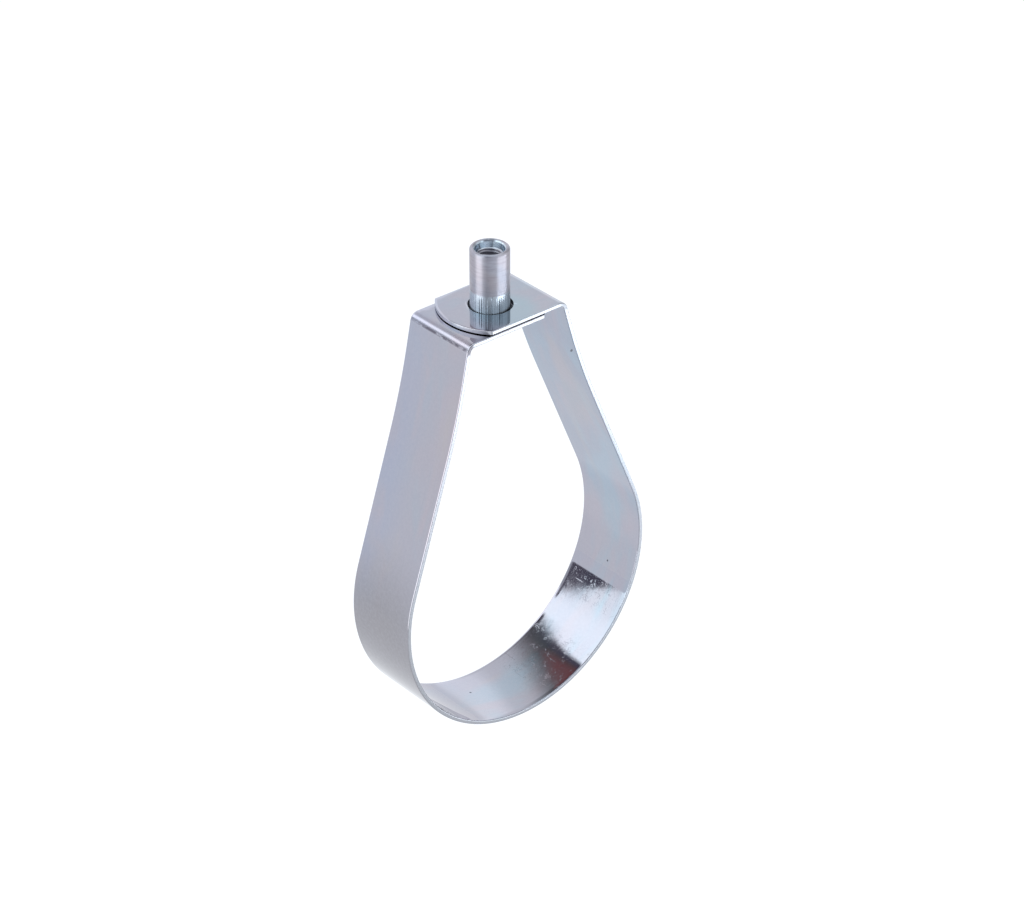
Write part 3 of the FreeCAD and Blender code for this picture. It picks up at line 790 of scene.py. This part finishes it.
def zinc_turned():
    """Bright zinc plating on turned steel, blurred along the axis by fine turning lines."""
    material, n = new_material("zinc_turned")
    spot = n.add("ShaderNodeTexCoord", 3)
    z = n.add("ShaderNodeSeparateXYZ", 2, None, Vector=spot)
    belt = n.ramp(z, (BELT_TOP - 0.5) * MM, (BELT_TOP + 0.4) * MM, 1.0, 0.0)
    plain = n.math("SUBTRACT", 1.0, belt)
    from_axis = n.measure("DISTANCE", n.placed(spot, (1, 1, 0)), (NUT_AXIS[0] * MM, NUT_AXIS[1] * MM, 0.0))
    mouth_light = n.times(n.ramp(from_axis, 5.9 * MM, MOUTH_RADIUS * MM, 1.0, 0.0),
                    n.ramp(z, (NUT_TOP - 3.3) * MM, (NUT_TOP - 2.5) * MM))

    colour = n.mix(n.ramp(n.noise(spot, 120.0, 2.0, 0.5), 0.4, 0.65), NUT_WARM, NUT_COOL)
    lines = n.noise(n.placed(spot, (18, 18, 5200)), 1.0, 4.0, 0.7)
    bands = n.noise(n.placed(spot, (140, 140, 1250)), 1.0, 2.0, 0.6)
    colour = n.mix(n.times(n.ramp(lines, 0.45, 0.75, 0.0, 0.25), plain), colour, NUT_LINE)
    colour = n.mix(n.times(n.ramp(bands, 0.44, 0.72, 0.0, 0.40), plain), colour, NUT_DARK_BAND)
    colour = n.mix(n.times(n.ramp(bands, 0.25, 0.45, 0.30, 0.0), plain), colour, NUT_PALE_BAND)
    colour = n.mix(n.times(belt, 0.9), colour, NUT_BELT)
    colour = n.mix(n.times(n.ramp(n.noise(spot, 650.0, 3.0, 0.6), 0.35, 0.7), 0.12), colour, NUT_MOTTLE)
    # Painted light: the mouth is lighter and bluer inside, where shade would fall
    colour = n.mix(n.times(mouth_light, 0.9), colour, NUT_MOUTH_LIGHT)
    # Painted shade in the knurl's grooves
    colour = n.mix(n.times(n.stored("groove"), 0.75), colour, NUT_GROOVE_SHADE)

    gloss = n.plus(n.ramp(lines, 0.3, 0.7, 0.38, 0.46), (belt, -0.12), (mouth_light, -0.24))
    height = n.plus(n.times(lines, plain), (n.noise(spot, 900.0, 2.0, 0.5), 0.25))
    bump = n.add("ShaderNodeBump", Strength=1.0, Distance=0.000006, Height=height)
    around = n.add("ShaderNodeTangent", settings={"direction_type": "RADIAL", "axis": "Z"})
    finish_material(n, n.add("ShaderNodeBsdfPrincipled", Base_Color=colour, Metallic=1.0, Roughness=gloss,
                             Anisotropic=0.85, Anisotropic_Rotation=0.25, Normal=bump, Tangent=around))
    return material


def direction(azimuth, elevation):
    """Unit vector towards an azimuth from +Y and an elevation, in degrees."""
    a, e = math.radians(azimuth), math.radians(elevation)
    return (math.sin(a) * math.cos(e), math.cos(a) * math.cos(e), math.sin(e))


# Colours and light of the studio
ROOM_DARK = rgb(0.12, 0.11, 0.15)
ROOM_RED = rgb(0.27, 0.01, 0.04)
ROOM_PINK = rgb(0.66, 0.60, 0.66)
ROOM_BRIGHT = rgb(1.30, 1.34, 1.40)
ROOM_LEFT = rgb(0.62, 0.64, 0.69)
STRIP_LIGHT = rgb(2.2, 2.2, 2.3)
GLOW_TINT = (1.0, 1.03, 1.07)
FILL_TINT = (0.97, 1.0, 1.04)
BOX_TINT = (0.93, 1.01, 1.04)
SKY_WHITE = rgb(1.0, 1.04, 1.10)

# The glow behind on the right: its level by the angle round the pipe's axis
GLOW = (
    (80.0, 0.12), (89.0, 0.16), (93.0, 0.24), (97.0, 0.34), (101.0, 0.44),
    (105.0, 0.56), (108.6, 0.68), (112.5, 0.80), (120.0, 0.96), (131.0, 1.02),
    (139.0, 1.05), (144.0, 1.14), (155.0, 1.34), (167.0, 1.36), (179.0, 1.30),
)
GLOW_TOP = 2.0
GLOW_SPAN = 200.0

# Share of the way that lies along the pipe, as the middle of the ring reflects it to the camera
RING_BACK = 0.6147


def glow_level(n, y, around, back):
    """Light of the soft glow behind on the right, which begins further left the further back it lies."""
    shift = n.math("MINIMUM", n.math("MAXIMUM", back, -0.009), 0.009)
    shift = n.times(shift, 1700.0, n.ramp(y, 0.628, 0.645, 1.0, 0.0))
    glow = n.add("ShaderNodeValToRGB", Fac=n.math("DIVIDE", n.math("ADD", around, shift), GLOW_SPAN))
    steps = glow.node.color_ramp.elements
    for place, value in GLOW:
        level = value / GLOW_TOP
        steps.new(place / GLOW_SPAN).color = rgb(level, level, level)
    steps[0].color, steps[-1].color = rgb(0.0, 0.0, 0.0), rgb(0.5, 0.5, 0.5)
    behind = n.math("MAXIMUM", n.ramp(y, 0.15, 0.45), n.ramp(y, -0.75, -0.35, 0.0, 0.45))
    return n.times(glow, GLOW_TOP, behind)


def soft_box_share(n, y, z, around, back):
    """Where the large soft box on the left and the panel overhead shine, from 0 to 1."""
    # The box's lower border rises towards the back and its upper one falls
    low = n.plus(19.2, (n.math("MINIMUM", back, 0.0105), 2083.0))
    low = n.math("SUBTRACT", around, n.math("MAXIMUM", low, -10.0))
    rise = n.math("MINIMUM", n.math("MAXIMUM", n.math("SUBTRACT", y, 0.6089), 0.0), 0.0135)
    high = n.plus(73.7, (n.times(rise, rise), -90400.0))
    box = n.times(n.ramp(low, -2.4, 2.4), n.ramp(n.math("SUBTRACT", around, high), -2.4, 2.4, 1.0, 0.0),
                  n.ramp(y, 0.648, 0.656, 1.0, 0.0))
    panel = n.times(n.ramp(z, 0.74, 0.80), n.ramp(y, 0.40, 0.50, 1.0, 0.0), 0.8)
    return n.math("MAXIMUM", box, panel)


def studio_world():
    """A pale studio: white up to a low horizon, then a soft box, a panel overhead, a glow and dark gaps."""
    world = bpy.data.worlds.new("studio")
    bpy.context.scene.world = world
    world.use_nodes = True
    n = Nodes(world.node_tree)
    way = n.add("ShaderNodeTexCoord", 0)
    x, y, z = n.add("ShaderNodeSeparateXYZ", 0, None, Vector=way).node.outputs
    elevation = n.times(n.math("ARCSINE", z), 180 / math.pi)
    # Angle round the pipe's axis, from 0 on the left over 90 straight up to 180 on the right. Of y, the ring
    # mirrors 0.606 to 0.625 to the photo's camera, the legs up to 0.66 and the laps up to 0.685
    around = n.times(n.math("ARCTAN2", z, n.times(x, -1.0)), 180 / math.pi)
    back = n.math("SUBTRACT", y, RING_BACK)

    def toward(azimuth, height):
        return n.measure("DOT_PRODUCT", way, direction(azimuth, height))

    # Dark room with a dark red patch, lighter and pinkish behind the head
    red = n.times(n.near(around, 92.0, 7.0, 16.0), n.ramp(y, 0.612, 0.626, 1.0, 0.0), n.ramp(y, 0.55, 0.60))
    colour = n.mix(red, ROOM_DARK, ROOM_RED)
    colour = n.mix(n.times(n.ramp(y, 0.640, 0.668), n.ramp(elevation, 16.0, 26.0)), colour, ROOM_PINK)
    colour = n.mix(n.ramp(y, 0.674, 0.692), colour, ROOM_BRIGHT)
    # Lighter room below the soft box on the left
    colour = n.mix(n.times(n.ramp(x, -0.55, -0.35, 1.0, 0.0), n.ramp(y, 0.627, 0.636)), colour, ROOM_LEFT)
    colour = n.vector("MAXIMUM", colour, n.grown(GLOW_TINT, glow_level(n, y, around, back)))
    # Small strip light behind on the left, which the left bend shows as a line
    strip = n.times(n.ramp(toward(-35, 34), 0.966, 0.984), n.ramp(y, 0.652, 0.664))
    colour = n.mix(strip, colour, STRIP_LIGHT)
    # Soft glow on the photographer's right
    fill = n.times(n.ramp(toward(160, 30), 0.30, 0.80), n.ramp(elevation, 42.0, 52.0, 1.0, 0.0), 1.15)
    colour = n.vector("MAXIMUM", colour, n.grown(FILL_TINT, fill))
    # The soft box and the panel, of which the photographer's dark shape hides a part
    person = n.times(n.ramp(n.math("ABSOLUTE", toward(305, 0)), 0.42, 0.54, 1.0, 0.0),
                     n.ramp(toward(215, 0), 0.12, 0.25), n.ramp(z, 0.955, 0.985, 1.0, 0.0))
    box = n.times(soft_box_share(n, y, z, around, back), n.math("SUBTRACT", 1.0, person))
    colour = n.mix(box, colour, n.grown(BOX_TINT, n.ramp(around, 20.0, 50.0, 1.74, 2.02)))
    # White below a low horizon, sharp on the left and soft on the right
    sky = n.add("ShaderNodeMix", 0, i0=n.ramp(x, 0.2, 0.5), i2=n.ramp(elevation, 7.4, 8.2),
                i3=n.ramp(elevation, 0.0, 9.0))
    colour = n.mix(sky, SKY_WHITE, colour)
    n.tree.links.new(n.add("ShaderNodeBackground", Color=colour, Strength=1.0),
                     n.tree.nodes.new("ShaderNodeOutputWorld").inputs[0])


def make_soft_box(name, azimuth, distance, low, high, width, radiance, tint):
    """A soft box that stands upright and faces the object."""
    data = bpy.data.lights.new(name, "AREA")
    data.shape = "RECTANGLE"
    data.size, data.size_y = width, high - low
    data.color = tint
    data.energy = radiance * math.pi * data.size * data.size_y
    lamp = new_object(name, data)
    out = Vector(direction(azimuth, 0.0))
    lamp.location = out * distance + Vector((0.0, 0.0, (low + high) / 2))
    lamp.rotation_mode = "QUATERNION"
    lamp.rotation_quaternion = out.to_track_quat("Z", "Y")
    lamp.visible_camera = False


FLOOR_REACH = 40.0
FLOOR_HEIGHT = -0.30
FLOOR_WHITE = rgb(1.0, 1.02, 1.06)
FLOOR_SHARE = 0.22
FLOOR_LIFT = 0.80


def make_floor():
    """A plain white floor that keeps the soft shadow."""
    sides = ((-1, -1), (1, -1), (1, 1), (-1, 1))
    corners = [(x * FLOOR_REACH, y * FLOOR_REACH, FLOOR_HEIGHT) for x, y in sides]
    mesh = bpy.data.meshes.new("floor")
    mesh.from_pydata(corners, [], [(0, 1, 2, 3)])
    floor = new_object("floor", mesh)
    material, n = new_material("floor_white")
    path = n.tree.nodes.new("ShaderNodeLightPath").outputs
    seen = n.math("ADD", path["Is Camera Ray"], path["Is Glossy Ray"])
    seen = n.math("ADD", seen, path["Is Transmission Ray"])
    lift = n.times(n.math("MINIMUM", seen, 1.0), FLOOR_LIFT)
    glow = n.add("ShaderNodeEmission", Color=FLOOR_WHITE, Strength=lift)
    matt = n.add("ShaderNodeBsdfDiffuse", Color=rgb(FLOOR_SHARE, FLOOR_SHARE, FLOOR_SHARE))
    finish_material(n, n.add("ShaderNodeAddShader", i0=matt, i1=glow))
    mesh.materials.append(material)


CAMERA_PLACE = (-0.683112, -0.807065, 0.699050)
CAMERA_AZIMUTH = 40.49
CAMERA_ELEVATION = -31.57
CAMERA_LENS = 113.81


def make_camera():
    """The photograph's viewpoint."""
    data = bpy.data.cameras.new("camera")
    data.lens = CAMERA_LENS
    data.sensor_width = 36.0
    data.clip_start, data.clip_end = 0.01, 100.0
    camera = new_object("camera", data)
    camera.location = CAMERA_PLACE
    camera.rotation_mode = "QUATERNION"
    camera.rotation_quaternion = Vector(direction(CAMERA_AZIMUTH, CAMERA_ELEVATION)).to_track_quat("-Z", "Y")
    bpy.context.scene.camera = camera


band = make_band()
band.data.materials.clear()
band.data.materials.append(zinc_strip())
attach(band, "band")
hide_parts("ring_band")

nut = make_nut()
nut.data.materials.clear()
nut.data.materials.append(zinc_turned())
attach(nut, "nut")
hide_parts("swivel_nut")

studio_world()
make_soft_box("soft_box_right", azimuth=147.0, distance=0.6, low=-0.28, high=-0.11, width=0.72, radiance=5.4,
              tint=(0.89, 0.955, 1.0))
make_soft_box("soft_box_left", azimuth=281.0, distance=0.6, low=-0.25, high=0.21, width=0.40, radiance=1.80,
              tint=(1.0, 0.99, 0.97))
make_floor()
make_camera()
bpy.context.scene.view_settings.view_transform = "Standard"
